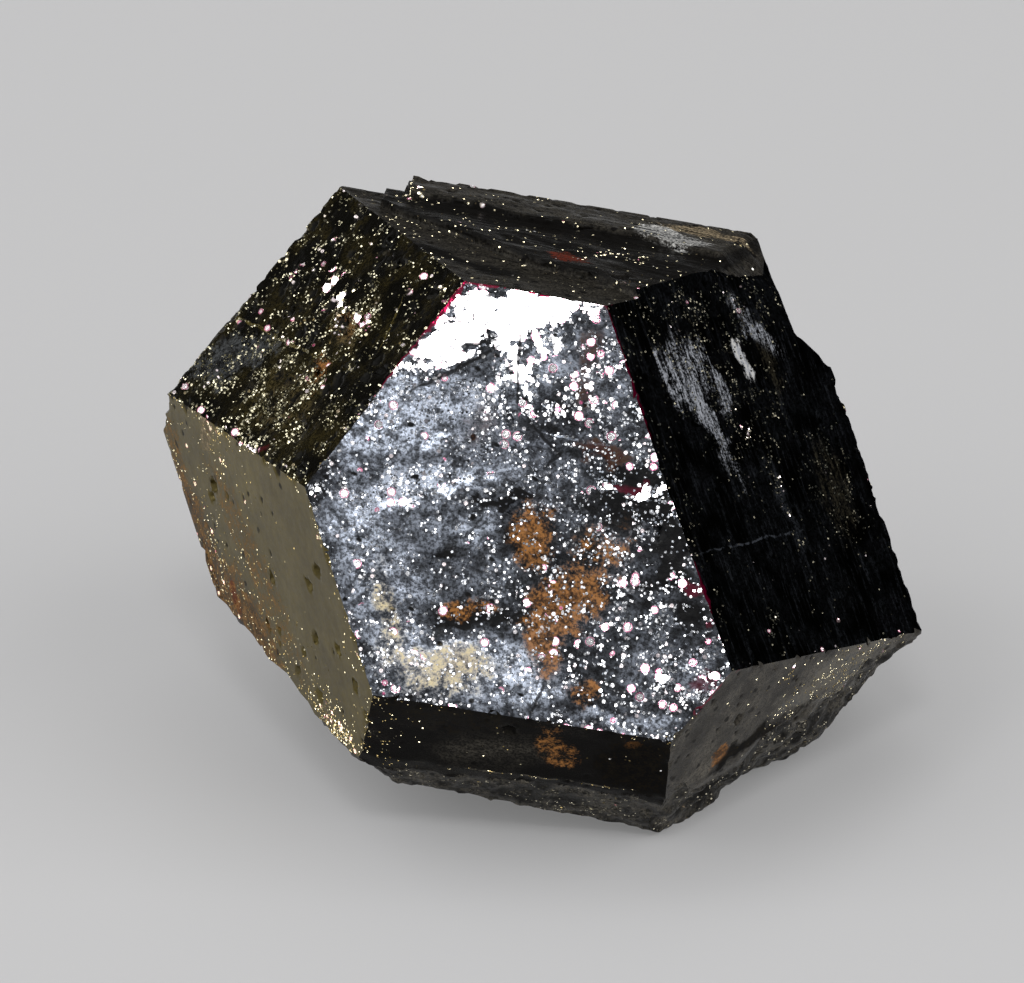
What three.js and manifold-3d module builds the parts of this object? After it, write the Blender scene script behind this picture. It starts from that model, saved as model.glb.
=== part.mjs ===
// A loose uraninite crystal, about twenty millimetres across, grown as one piece.
// Its habit is the octahedron and the cube in nearly equal balance. The top carries growth
// terraces, and the underside is broken where the crystal came off its rock.
// Lengths are in millimetres, angles in degrees. Z is up and the front faces -Y.
import * as THREE from 'three';
import { ImprovedNoise } from 'three/addons/math/ImprovedNoise.js';
import { mergeVertices } from 'three/addons/utils/BufferGeometryUtils.js';
import Module from 'manifold-3d';

const wasm = await Module();
wasm.setup();

// How the crystal's axes lie when it rests on its broken side.
const lie = { x: 16.6, y: -39.1, z: -102.5 };

// Growth faces: Miller indices, and distance from the crystal's centre. The second decimals
// are the slight lean of vicinal growth, up to two degrees off the ideal face.
const growth = {
  front: { hkl: [1, 1, 1], distance: 8.0 },
  top: { hkl: [-0.99, 0.99, 1.02], distance: 7.6 },
  left: { hkl: [0.99, -0.99, 1.03], distance: 8.1 },
  lowerRight: { hkl: [1, 1.01, -0.99], distance: 9.45 },
  upperLeft: { hkl: [0.01, -0.05, 1], distance: 8.23 },
  right: { hkl: [-0.01, 1, -0.01], distance: 7.18 },
  foot: { hkl: [1, 0, -0.04], distance: 9.58 },
  backLeft: { hkl: [-1, -1, 1], distance: 8.8 },
  back: { hkl: [-1, -0.02, 0.02], distance: 6.8 },
  backRight: { hkl: [-0.99, 1, -1.01], distance: 7.96 },
  underBack: { hkl: [-1, -1, -1], distance: 7.4 },
  underLeft: { hkl: [-0.01, -1, 0.01], distance: 7.85 },
  underRight: { hkl: [0.01, -0.01, -1], distance: 7.95 },
};

// Other planes, by Miller indices or by the heading and the rise of the outward normal.
// Heading 0 is +X and -90 the front. These are bevels, steps and chips.
const rightBevel = { hkl: [-1, 2, -1], distance: 7.85 };
const rightStep = { hkl: [-1, -0.02, 0.02], distance: 3.8 };
const topCornerChip = { heading: -5, rise: 51, distance: 8.19 };
const backNotch = { hkl: [-1, -0.02, 0.02], distance: 5.9 };
const backNotchEnd = { heading: 172, rise: 8, distance: 5.1 };
const backNotchFloor = { heading: 80, rise: 66, distance: 6.0 };

// Broken faces: how far each hackly surface wanders, the grid it is drawn on, and the seed
// of its pattern.
const broken = {
  footBand: { heading: -101, rise: -39, distance: 9.12, relief: 0.11, grid: 0.6, seed: 3 },
  rightBand: { heading: -36, rise: -38, distance: 8.97, relief: 0.34, grid: 0.55, seed: 11 },
  leftBand: { heading: -161, rise: -50, distance: 7.28, relief: 0.26, grid: 0.55, seed: 20 },
  sole: { heading: -130, rise: -72, distance: 6.68, relief: 0.16, grid: 0.8, seed: 6 },
  rearSole: { heading: 66, rise: -58, distance: 6.6, relief: 0.4, grid: 0.8, seed: 35 },
};

// The right-hand break swells out into one ledge, placed along and away on its face.
const ledge = { face: 'rightBand', along: -1.6, away: 1.6, width: 1.25, height: 0.5 };

// The flat it rests on, facing straight down below the crystal's centre.
const restFlat = { heading: 0, rise: -90, distance: 6.0 };

// Hackly relief is the sum of three kinds of noise: how long each one's waves are, and how
// much of the relief is its own. A crest is folded noise, which gives sharp-topped steps.
const hackly = {
  swell: { length: 3.1, share: 0.8, offset: 0 },
  crest: { length: 1.5, share: 0.45, offset: 7, sharpness: 2.4 },
  rough: { length: 0.7, share: 0.5, offset: 13 },
};
const gridShift = { part: 0.35, length: 0.53 };    // of a grid step, so its rows aren't straight

// Growth terraces: an outline on a face, in millimetres along its edge with the front face
// and away from it, which is sunk below the face by a drop.
const outside = 14;                // past the crystal's own edges
const terraces = [
  {
    face: 'top',
    drop: 0.18,
    relief: 0.07,
    grid: 0.6,
    seed: 41,
    outline: [
      [-5.05, outside], [-5.0, 2.6], [-4.8, 1.4], [-2.95, 1.1], [-1.3, 0.65], [1.4, 1.0],
      [2.9, 0.4], [outside, 0.2], [outside, -outside], [-outside, -outside],
      [-outside, outside],
    ],
  },
  {
    face: 'top',
    drop: 0.4,
    relief: 0,
    seed: 43,
    outline: [
      [-5.4, outside], [-5.5, 0.6], [-5.1, 0], [-2.95, -1.5], [-2.1, -2.35], [-0.8, -3.3],
      [0.7, -3.65], [2.0, -4.6], [outside, -10], [outside, -outside],
      [-outside, -outside], [-outside, outside],
    ],
  },
  {
    face: 'front',
    drop: 0.06,
    relief: 0,
    seed: 45,
    outline: [
      [-outside, 0.8], [-4.1, 1.45], [-3.4, 2.1], [-2.8, 2.45], [-1.3, 3.0], [-0.2, 2.7],
      [1.0, 2.9], [outside, 2.2], [outside, outside], [-outside, outside],
    ],
  },
];

// Pits scattered on each face: how many, and their widest radius.
const scatter = {
  upperLeft: { count: 26, radius: 0.3, spread: 4.4 },
  left: { count: 20, radius: 0.28, spread: 4.6 },
  front: { count: 14, radius: 0.22, spread: 5.0 },
  right: { count: 10, radius: 0.26, spread: 5.0 },
  top: { count: 10, radius: 0.26, spread: 4.0 },
  foot: { count: 4, radius: 0.24, spread: 3.4 },
  lowerRight: { count: 5, radius: 0.24, spread: 3.4 },
  backLeft: { count: 10, radius: 0.34, spread: 4.4 },
  back: { count: 8, radius: 0.34, spread: 4.0 },
  backRight: { count: 8, radius: 0.34, spread: 4.0 },
  underBack: { count: 8, radius: 0.36, spread: 4.0 },
  underLeft: { count: 6, radius: 0.36, spread: 3.6 },
  underRight: { count: 4, radius: 0.36, spread: 3.0 },
};

// Nicks along the edges: the two faces that meet, the faces that end the edge, how many
// nicks and their widest radius.
const nicks = [
  { edge: ['upperLeft', 'left'], ends: ['front', 'backLeft'], count: 6, radius: 0.26 },
  { edge: ['front', 'upperLeft'], ends: ['left', 'top'], count: 4, radius: 0.16 },
  { edge: ['front', 'left'], ends: ['upperLeft', 'foot'], count: 4, radius: 0.18 },
  { edge: ['front', 'foot'], ends: ['left', 'lowerRight'], count: 6, radius: 0.2 },
  { edge: ['front', 'lowerRight'], ends: ['foot', 'right'], count: 3, radius: 0.2 },
  { edge: ['front', 'right'], ends: ['lowerRight', 'top'], count: 5, radius: 0.14 },
  { edge: ['right', 'lowerRight'], ends: ['front', 'backRight'], count: 5, radius: 0.2 },
  { edge: ['foot', 'lowerRight'], ends: ['front', 'underLeft'], count: 4, radius: 0.24 },
  { edge: ['left', 'foot'], ends: ['front', 'underLeft'], count: 4, radius: 0.24 },
  { edge: ['upperLeft', 'backLeft'], ends: ['left', 'top'], count: 8, radius: 0.24 },
  { edge: ['left', 'backLeft'], ends: ['upperLeft', 'underLeft'], count: 5, radius: 0.3 },
  { edge: ['right', 'backRight'], ends: ['lowerRight', 'back'], count: 7, radius: 0.22 },
  { edge: ['top', 'back'], ends: ['backLeft', 'backRight'], count: 6, radius: 0.22 },
  { edge: ['backLeft', 'back'], ends: ['top', 'underBack'], count: 6, radius: 0.3 },
  { edge: ['back', 'backRight'], ends: ['top', 'underBack'], count: 6, radius: 0.3 },
];

// The shapes of the small stones that press pits and nicks.
const pitSquash = 0.7;             // breadth over length
const pitSize = [0.45, 1];         // smallest and largest, as a share of the widest radius
const pitDepth = [0.5, 0.9];       // as a share of its own radius
const nickSize = [0.5, 1];
const nickLift = 0.45;             // how far out its middle stands, as a share of its radius
const fullTurn = 2 * Math.PI;

// A terrace's edge wanders: the length of its straight steps, how far they stray, and over
// what distance.
const terraceEdge = { step: 0.8, stray: 0.24, length: 0.43 };

const cutterReach = 40;            // a cutting block, well over the crystal's width
const slabReach = 24;              // a broken face's slab, a little over the crystal's width
const weldDistance = 1e-4;
const nearlyParallel = 0.99;       // cosine of the angle between two faces

const radians = THREE.MathUtils.degToRad;
const noise = new ImprovedNoise();
const axes = new THREE.Matrix4().makeRotationFromEuler(
  new THREE.Euler(radians(lie.x), radians(lie.y), radians(lie.z)),
);

// A small repeatable generator, so that every pit falls in the same place each time.
function seeded(seed) {
  let state = seed;
  return (low, high) => {
    state = (state * 1664525 + 1013904223) % 4294967296;
    return low + (high - low) * (state / 4294967296);
  };
}

// The outward normal of a plane, given by Miller indices or by heading and rise.
function normalOf(plane) {
  if (plane.hkl) {
    return new THREE.Vector3(...plane.hkl).normalize().applyMatrix4(axes);
  }
  const flat = Math.cos(radians(plane.rise));
  return new THREE.Vector3(
    flat * Math.cos(radians(plane.heading)),
    flat * Math.sin(radians(plane.heading)),
    Math.sin(radians(plane.rise)),
  );
}

// A plane's own frame: along its edge with the front face, away from that edge, outward.
// The front face itself, and the face opposite it, take their edge with the foot face.
function frameOf(plane) {
  const normal = normalOf(plane);
  const front = normalOf(growth.front);
  const alike = Math.abs(normal.dot(front)) > nearlyParallel;
  const neighbour = alike ? normalOf(growth.foot) : front;
  const along = normal.clone().cross(neighbour).normalize();
  const away = normal.clone().cross(along);
  return new THREE.Matrix4().makeBasis(along, away, normal);
}

// A closed geometry as a solid that can be cut, and the way back.
function solidFrom(geometry) {
  const bare = new THREE.BufferGeometry();
  bare.setAttribute('position', geometry.getAttribute('position'));
  bare.setIndex(geometry.getIndex());
  const welded = mergeVertices(bare, weldDistance);
  return new wasm.Manifold(new wasm.Mesh({
    numProp: 3,
    vertProperties: welded.getAttribute('position').array,
    triVerts: Uint32Array.from(welded.getIndex().array),
  }));
}

function geometryFrom(solid) {
  const { vertProperties, triVerts } = solid.getMesh();
  const geometry = new THREE.BufferGeometry();
  geometry.setAttribute('position', new THREE.BufferAttribute(Float32Array.from(vertProperties), 3));
  geometry.setIndex(Array.from(triVerts));
  return geometry;
}

// Everything that lies outside a plane, as a big block standing on it.
function beyond(plane) {
  const block = new THREE.BoxGeometry(cutterReach, cutterReach, cutterReach);
  block.translate(0, 0, plane.distance + cutterReach / 2);
  return solidFrom(block.applyMatrix4(frameOf(plane)));
}

// Hackly relief, about from -1 to 1: broad swells, sharp-crested steps and a fine roughness.
function hackle(x, y, seed) {
  const wave = ({ length, offset }) => noise.noise(x / length, y / length, seed + offset);
  const { swell, crest, rough } = hackly;
  const fold = 1 - crest.sharpness * Math.abs(wave(crest));
  return swell.share * wave(swell) + crest.share * fold + rough.share * wave(rough);
}

function ledgeHeight(x, y) {
  const away = Math.hypot(x - ledge.along, y - ledge.away) / ledge.width;
  return ledge.height * Math.exp(-away * away);
}

// Everything outside a broken face: a slab whose near side is a grid raised by the relief.
function beyondBroken(plane) {
  const cells = Math.round(slabReach / plane.grid);
  const sway = (x, y, seed) => noise.noise(x / gridShift.length, y / gridShift.length, seed);
  const slab = new THREE.BoxGeometry(slabReach, slabReach, slabReach, cells, cells, 1);
  const near = slab.getAttribute('position');
  for (let i = 0; i < near.count; i += 1) {
    const [x, y] = [near.getX(i), near.getY(i)];
    if (near.getZ(i) > 0) {
      near.setZ(i, plane.distance + slabReach);
    } else {
      const shift = gridShift.part * plane.grid;
      near.setX(i, x + shift * sway(x, y, plane.seed + 0.5));
      near.setY(i, y + shift * sway(x, y, plane.seed + 5.5));
      const swell = plane === broken[ledge.face] ? ledgeHeight(x, y) : 0;
      near.setZ(i, plane.distance + swell + plane.relief * hackle(x, y, plane.seed));
    }
  }
  return solidFrom(slab.applyMatrix4(frameOf(plane)));
}

// What a terrace takes off: an upright prism of its outline, with a wandering edge.
function terraceCut({ face, drop, relief, grid, seed, outline }) {
  const points = [];
  outline.forEach(([x, y], i) => {
    const [nextX, nextY] = outline[(i + 1) % outline.length];
    const length = Math.hypot(nextX - x, nextY - y);
    const onFace = length < outside / 2;
    const pieces = onFace ? Math.max(1, Math.round(length / terraceEdge.step)) : 1;
    for (let k = 0; k < pieces; k += 1) {
      const [px, py] = [x + (nextX - x) * k / pieces, y + (nextY - y) * k / pieces];
      const at = [px / terraceEdge.length, py / terraceEdge.length];
      const bend = terraceEdge.stray * noise.noise(...at, seed);
      points.push(new THREE.Vector2(px + bend, py - bend));
    }
  });
  const plane = growth[face];
  const floor = plane.distance - drop;
  const prism = new THREE.ExtrudeGeometry(new THREE.Shape(points), {
    depth: cutterReach / 4,
    bevelEnabled: false,
  });
  prism.translate(0, 0, relief > 0 ? floor - 1 : floor);
  const upright = solidFrom(prism.applyMatrix4(frameOf(plane)));
  if (relief === 0) {
    return upright;
  }
  return upright.intersect(beyondBroken({ ...plane, distance: floor, relief, grid, seed }));
}

// A pit: a squashed, turned twenty-sided stone pressed into a face.
function pitCut(plane, x, y, radius, depth, turn) {
  const stone = new THREE.IcosahedronGeometry(radius, 0);
  stone.rotateX(turn);
  stone.scale(1, pitSquash, depth / radius);
  stone.rotateZ(turn);
  stone.translate(x, y, plane.distance);
  return solidFrom(stone.applyMatrix4(frameOf(plane)));
}

function growCrystal() {
  let crystal = solidFrom(new THREE.BoxGeometry(cutterReach, cutterReach, cutterReach));
  Object.values(growth).forEach((face) => {
    crystal = crystal.subtract(beyond(face));
  });
  return crystal;
}

function cutTerraces(crystal) {
  let cut = crystal;
  terraces.forEach((terrace) => {
    cut = cut.subtract(terraceCut(terrace));
  });
  cut = cut.subtract(beyond(rightBevel).intersect(beyond(rightStep)));
  cut = cut.subtract(beyond(topCornerChip));
  const notch = beyond(backNotch).intersect(beyond(backNotchEnd)).intersect(beyond(backNotchFloor));
  return cut.subtract(notch);
}

function breakUnderside(crystal) {
  let cut = crystal;
  Object.values(broken).forEach((face) => {
    cut = cut.subtract(beyondBroken(face));
  });
  return cut;
}

function pressPits(crystal) {
  const draw = seeded(7);
  let cut = crystal;
  Object.entries(scatter).forEach(([name, { count, radius, spread }]) => {
    for (let i = 0; i < count; i += 1) {
      const size = radius * draw(...pitSize);
      const [x, y] = [draw(-spread, spread), draw(-spread, spread)];
      const depth = size * draw(...pitDepth);
      cut = cut.subtract(pitCut(growth[name], x, y, size, depth, draw(0, fullTurn)));
    }
  });
  return cut;
}

// The point where three growth faces meet.
function cornerOf(names) {
  const [a, b, c] = names.map((name) => normalOf(growth[name]));
  const [da, db, dc] = names.map((name) => growth[name].distance);
  const corner = b.clone().cross(c).multiplyScalar(da);
  corner.add(c.clone().cross(a).multiplyScalar(db));
  corner.add(a.clone().cross(b).multiplyScalar(dc));
  return corner.divideScalar(a.dot(b.clone().cross(c)));
}

// A nick is the same stone as a pit, pressed into an edge from outside.
function nickEdges(crystal) {
  const draw = seeded(23);
  let cut = crystal;
  nicks.forEach(({ edge, ends, count, radius }) => {
    const start = cornerOf([...edge, ends[0]]);
    const end = cornerOf([...edge, ends[1]]);
    const outward = normalOf(growth[edge[0]]).add(normalOf(growth[edge[1]])).normalize();
    for (let i = 0; i < count; i += 1) {
      const size = radius * draw(...nickSize);
      const centre = start.clone().lerp(end, (i + draw(0.1, 0.9)) / count);
      centre.addScaledVector(outward, nickLift * size);
      const stone = new THREE.IcosahedronGeometry(size, 0);
      stone.rotateX(draw(0, fullTurn)).rotateY(draw(0, fullTurn));
      cut = cut.subtract(solidFrom(stone.translate(centre.x, centre.y, centre.z)));
    }
  });
  return cut;
}

// Stands the crystal on its flat, with the origin under the middle of its box.
function standOnOrigin(geometry) {
  geometry.computeBoundingBox();
  const { min, max } = geometry.boundingBox;
  geometry.translate(-(min.x + max.x) / 2, -(min.y + max.y) / 2, -min.z);
  return geometry;
}

const shaped = breakUnderside(cutTerraces(growCrystal()));
const solid = nickEdges(pressPits(shaped)).subtract(beyond(restFlat));

const uraninite = new THREE.Mesh(
  standOnOrigin(geometryFrom(solid)),
  new THREE.MeshStandardMaterial({ color: 0x1b1c1f, roughness: 0.42, metalness: 0.55 }),
);
uraninite.name = 'uraninite_crystal';

const part = new THREE.Group();
part.add(uraninite);

export default part;
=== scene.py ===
import math

import bmesh
import bpy
import numpy as np
from mathutils import Matrix, Vector, kdtree, noise


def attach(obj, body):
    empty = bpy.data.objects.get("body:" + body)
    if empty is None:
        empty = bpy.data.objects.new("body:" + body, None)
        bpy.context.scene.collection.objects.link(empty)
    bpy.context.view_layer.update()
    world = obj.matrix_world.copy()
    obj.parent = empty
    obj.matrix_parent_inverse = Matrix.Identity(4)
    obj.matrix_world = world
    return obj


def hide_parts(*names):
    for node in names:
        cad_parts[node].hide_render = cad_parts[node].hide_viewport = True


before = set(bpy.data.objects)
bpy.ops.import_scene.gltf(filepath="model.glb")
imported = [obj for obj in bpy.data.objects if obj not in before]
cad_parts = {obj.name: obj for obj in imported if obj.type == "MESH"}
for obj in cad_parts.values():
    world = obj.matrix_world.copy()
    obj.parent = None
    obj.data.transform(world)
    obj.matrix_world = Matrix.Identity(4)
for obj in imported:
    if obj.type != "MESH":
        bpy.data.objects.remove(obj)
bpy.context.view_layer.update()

mm = 0.001


def note(stage):
    print("uraninite:", stage, flush=True)


class Wire:
    # one output of a shader node, so that masks can be written as sums

    def __init__(self, paint, socket):
        self.paint = paint
        self.socket = socket

    def maths(self, operation, first, second):
        return self.paint.node("ShaderNodeMath", {"operation": operation}, {0: first, 1: second})

    def __add__(self, other):
        return self.maths("ADD", self, other)

    def __sub__(self, other):
        return self.maths("SUBTRACT", self, other)

    def __rsub__(self, other):
        return self.maths("SUBTRACT", other, self)

    def __mul__(self, other):
        return self.maths("MULTIPLY", self, other)

    __radd__ = __add__
    __rmul__ = __mul__

    def both(self, other):
        return self.maths("MINIMUM", self, other)

    def either(self, other):
        return self.maths("MAXIMUM", self, other)

    def rise(self, low, high, fromValue=0.0, toValue=1.0):
        # a soft step: fromValue up to low, toValue past high
        return self.paint.node("ShaderNodeMapRange", {"interpolation_type": "SMOOTHSTEP"},
                               {0: self, 1: low, 2: high, 3: fromValue, 4: toValue})

    def other(self, output):
        # another output of the same node
        return Wire(self.paint, self.socket.node.outputs[output])


class Paint:
    # a material, or the world, being built from nodes

    def __init__(self, owner):
        owner.use_nodes = True
        self.tree = owner.node_tree
        self.tree.nodes.clear()

    def node(self, kind, settings, inputs, output=0):
        made = self.tree.nodes.new(kind)
        for name, value in settings.items():
            setattr(made, name, value)
        for name, value in inputs.items():
            if isinstance(value, Wire):
                self.tree.links.new(value.socket, made.inputs[name])
            else:
                made.inputs[name].default_value = value
        return Wire(self, made.outputs[output]) if len(made.outputs) else None

    def vector(self, operation, first, second=(0, 0, 0)):
        return self.node("ShaderNodeVectorMath", {"operation": operation}, {0: first, 1: second})

    def scaled(self, vector, factor):
        return self.node("ShaderNodeVectorMath", {"operation": "SCALE"},
                         {0: vector, "Scale": factor})

    def blend(self, factor, first, second):
        return self.node("ShaderNodeMix", {"data_type": "RGBA"},
                         {0: factor, 6: first, 7: second}, 2)

    def parts(self, vector):
        split = self.node("ShaderNodeSeparateXYZ", {}, {0: vector})
        return split, split.other(1), split.other(2)

    def turned(self, factor, first, second):
        return self.node("ShaderNodeMix", {"data_type": "VECTOR"},
                         {0: factor, 4: first, 5: second}, 1)

    def cloud(self, place, size, detail, roughness, seed):
        place = self.vector("ADD", place, (seed * 3.7, seed * 1.3, seed * 2.1))
        return self.node("ShaderNodeTexNoise", {}, {
            "Vector": place, "Scale": 1 / size, "Detail": detail, "Roughness": roughness})

    def cells(self, place, size):
        # the distance from the middle of each small cell, and a random colour for the cell
        near = self.node("ShaderNodeTexVoronoi", {}, {
            "Vector": place, "Scale": 1 / size, "Randomness": 0.85})
        return near, near.other("Color")


def colour(red, green, blue):
    return (red, green, blue, 1.0)


crystal = {
    "node": "uraninite_crystal",
    "slot": "uraninite",
    "body": "root",
    "centre": (-0.034, 0.947, 6.0),     # millimetres, where its lattice is centred
    "lie": (16.6, -39.1, -102.5),       # degrees, how its lattice is turned
    "remesh": 0.64,                     # share of the octree that the crystal fills
    # Miller indices, distance from the centre in millimetres, and finish
    "growth": {
        "front": ((1, 1, 1), 8.0, "frontFace"),
        "top": ((-0.99, 0.99, 1.02), 7.6, "topFace"),
        "left": ((0.99, -0.99, 1.03), 8.1, "leftFace"),
        "lowerRight": ((1, 1.01, -0.99), 9.45, "lowerRightFace"),
        "upperLeft": ((0.01, -0.05, 1), 8.23, "upperLeftFace"),
        "right": ((-0.01, 1, -0.01), 7.18, "rightFace"),
        "foot": ((1, 0, -0.04), 9.58, "footFace"),
        "backLeft": ((-1, -1, 1), 8.8, "plainFace"),
        "back": ((-1, -0.02, 0.02), 6.8, "glitterFace"),
        "backRight": ((-0.99, 1, -1.01), 7.96, "plainFace"),
        "underBack": ((-1, -1, -1), 7.4, "plainFace"),
        "underLeft": ((-0.01, -1, 0.01), 7.85, "glitterFace"),
        "underRight": ((0.01, -0.01, -1), 7.95, "glitterFace"),
        "rightBevel": ((-1, 2, -1), 7.85, "rightFace"),
    },
    # heading, rise, distance and finish
    "broken": {
        "footBand": (-101, -39, 9.12, "brokenFace"),
        "rightBand": (-36, -38, 8.97, "brokenFace"),
        "leftBand": (-161, -50, 7.28, "brokenFace"),
        "sole": (-130, -72, 6.68, "brokenFace"),
        "rearSole": (66, -58, 6.6, "brokenFace"),
        "rest": (0, -90, 6.0, "brokenFace"),
    },
}

turn = [math.radians(angle) for angle in crystal["lie"]]
lattice = (Matrix.Rotation(turn[0], 3, "X") @ Matrix.Rotation(turn[1], 3, "Y")
           @ Matrix.Rotation(turn[2], 3, "Z"))


def headed(heading, rise):
    heading, rise = math.radians(heading), math.radians(rise)
    return Vector((math.cos(rise) * math.cos(heading), math.cos(rise) * math.sin(heading),
                   math.sin(rise)))


planes = {}
for face, (indices, distance, finish) in crystal["growth"].items():
    planes[face] = ((lattice @ Vector(indices)).normalized(), distance, finish)
for face, (heading, rise, distance, finish) in crystal["broken"].items():
    planes[face] = (headed(heading, rise), distance, finish)


def faceFrame(face):
    # rows: along the face's edge with the front face, away from that edge, outward
    normal = planes[face][0]
    neighbour = planes["foot" if abs(normal.dot(planes["front"][0])) > 0.99 else "front"][0]
    along = normal.cross(neighbour).normalized()
    return Matrix((along, normal.cross(along), normal))


def fineMesh():
    # the solid's own shape, on an even net of small faces, in millimetres about its centre
    note("fine mesh")
    shape = bmesh.new()
    shape.from_mesh(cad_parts[crystal["node"]].data)
    bmesh.ops.scale(shape, vec=(1 / mm,) * 3, verts=shape.verts)
    bmesh.ops.remove_doubles(shape, verts=shape.verts, dist=0.0005)
    bmesh.ops.translate(shape, vec=-Vector(crystal["centre"]), verts=shape.verts)
    rough = bpy.data.meshes.new("rough")
    shape.to_mesh(rough)
    shape.free()
    block = bpy.data.objects.new("rough", rough)
    bpy.context.collection.objects.link(block)
    net = block.modifiers.new("net", "REMESH")
    net.mode = "SHARP"
    net.octree_depth = 8
    net.scale = crystal["remesh"]
    net.threshold = 1.0
    seen = block.evaluated_get(bpy.context.evaluated_depsgraph_get())
    shape = bmesh.new()
    shape.from_mesh(bpy.data.meshes.new_from_object(seen))
    bpy.data.objects.remove(block)
    # corners where the net touches itself are cut out and closed again
    pinched = [v for v in shape.verts if not v.is_manifold]
    bmesh.ops.delete(shape, geom=pinched, context="VERTS")
    rims = [e for e in shape.edges if e.is_boundary]
    bmesh.ops.holes_fill(shape, edges=rims, sides=0)
    bmesh.ops.triangulate(shape, faces=shape.faces, quad_method="BEAUTY", ngon_method="BEAUTY")
    bmesh.ops.recalc_face_normals(shape, faces=shape.faces)
    return shape


# how far a plane may lie from its points in millimetres, what it costs to choose it at
# all, and what a lean costs
belonging = {
    "broken": (0.35, 0.03, 0.25),
    "terraced": (0.45, 0.0, 0.3),
    "plain": (0.07, 0.0, 0.3),
}


def nearestFaces(points, normals):
    # which plane each point belongs to: small gap, and a normal not far off
    best = np.full(len(points), np.inf)
    found = np.zeros(len(points), int)
    for i, (name, (normal, distance, _)) in enumerate(planes.items()):
        gap = distance - points @ np.array(normal)
        kind = "terraced" if name == "top" else "plain"
        if name in crystal["broken"]:
            kind = "broken"
            gap = abs(gap)
        slack, choosing, leaning = belonging[kind]
        cost = np.maximum(gap - slack, 0) + choosing + leaning * (1 - normals @ np.array(normal))
        closer = cost < best
        best[closer] = cost[closer]
        found[closer] = i
    return found


def edgeDistance(points, own):
    # how far each point is from the nearest edge of its face, in millimetres
    noEdge = 99.0
    names = list(planes)
    normals = np.array([planes[n][0] for n in names])
    distances = np.array([planes[n][1] for n in names])
    gaps = distances[None, :] - points @ normals.T
    cosines = normals @ normals.T
    far = np.full(len(points), noEdge)
    for j, name in enumerate(names):
        if name == "rightBevel" or name in crystal["broken"]:
            continue
        sines = np.sqrt(np.maximum(1 - cosines[own, j] ** 2, 1e-4))
        reach = np.where(own == j, noEdge, gaps[:, j] / sines)
        far = np.minimum(far, np.maximum(reach, 0))
    return far


relief = {
    "seed": 5,
    # pits on each face: how many, smallest and largest radius in millimetres
    "pits": {
        "upperLeft": (160, 0.07, 0.22), "left": (16, 0.05, 0.10), "front": (30, 0.05, 0.10),
        "right": (50, 0.06, 0.16), "top": (60, 0.06, 0.16), "foot": (14, 0.05, 0.10),
        "lowerRight": (20, 0.05, 0.12), "backLeft": (160, 0.07, 0.22), "back": (220, 0.07, 0.24),
        "backRight": (160, 0.07, 0.22), "underBack": (120, 0.07, 0.22),
        "underLeft": (90, 0.07, 0.22), "underRight": (60, 0.07, 0.22),
    },
    "pitDepth": 0.45,                   # share of a pit's radius
    "pitWall": 2.2,                     # how steep a pit's wall is
    # height in millimetres of three kinds of unevenness: grain, growth steps, striae
    "rough": {
        "front": (0.003, 0.006, 0.0), "top": (0.004, 0.010, 0.010), "left": (0.003, 0.003, 0.0),
        "lowerRight": (0.004, 0.006, 0.0), "foot": (0.003, 0.003, 0.0),
        "upperLeft": (0.012, 0.010, 0.0), "right": (0.003, 0.004, 0.005),
        "rightBevel": (0.012, 0.012, 0.010), "backLeft": (0.012, 0.016, 0.0),
        "back": (0.028, 0.016, 0.0), "backRight": (0.012, 0.016, 0.0),
        "underBack": (0.012, 0.016, 0.0), "underLeft": (0.03, 0.016, 0.0),
        "underRight": (0.03, 0.016, 0.0),
    },
    # height in millimetres of the broken ground
    "hackly": {
        "footBand": 0.05, "rightBand": 0.11, "leftBand": 0.09, "sole": 0.08, "rearSole": 0.12,
    },
    # share and size in millimetres of the crests, lumps and grain of broken ground
    "crests": (0.6, 0.9),
    "lumps": (0.8, 0.45),
    "grit": (0.7, 0.24),
    "grainSizes": (0.22, 0.5),
    "hillSizes": (2.2, 0.8),            # millimetres, of the ground that growth steps climb
    "striaeSize": (1.6, 0.22),          # millimetres, along and across
    "calm": 0.15,                       # millimetres from an edge where unevenness fades
    "chip": 0.07,                       # millimetres worn off where an edge is chipped
    "chipSizes": (0.28, 0.9),
    "chipReach": 0.16,                  # millimetres from an edge
    # growth steps on the front face: from, to, how high and how wide
    "steps": [((-4.4, -1.9), (-2.6, -0.62), 0.05, 0.10), ((-2.6, -0.75), (-0.5, -0.02), 0.06, 0.10),
              ((-3.4, 0.2), (-1.9, 1.0), 0.03, 0.10), ((0.3, -5.9), (1.9, -5.2), 0.04, 0.10)],
}


def noiseAt(points, size, seed):
    shift = Vector((seed * 3.7, seed * 1.3, seed * 2.1))
    return np.array([noise.noise(Vector(p) / size + shift) for p in points])


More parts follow.
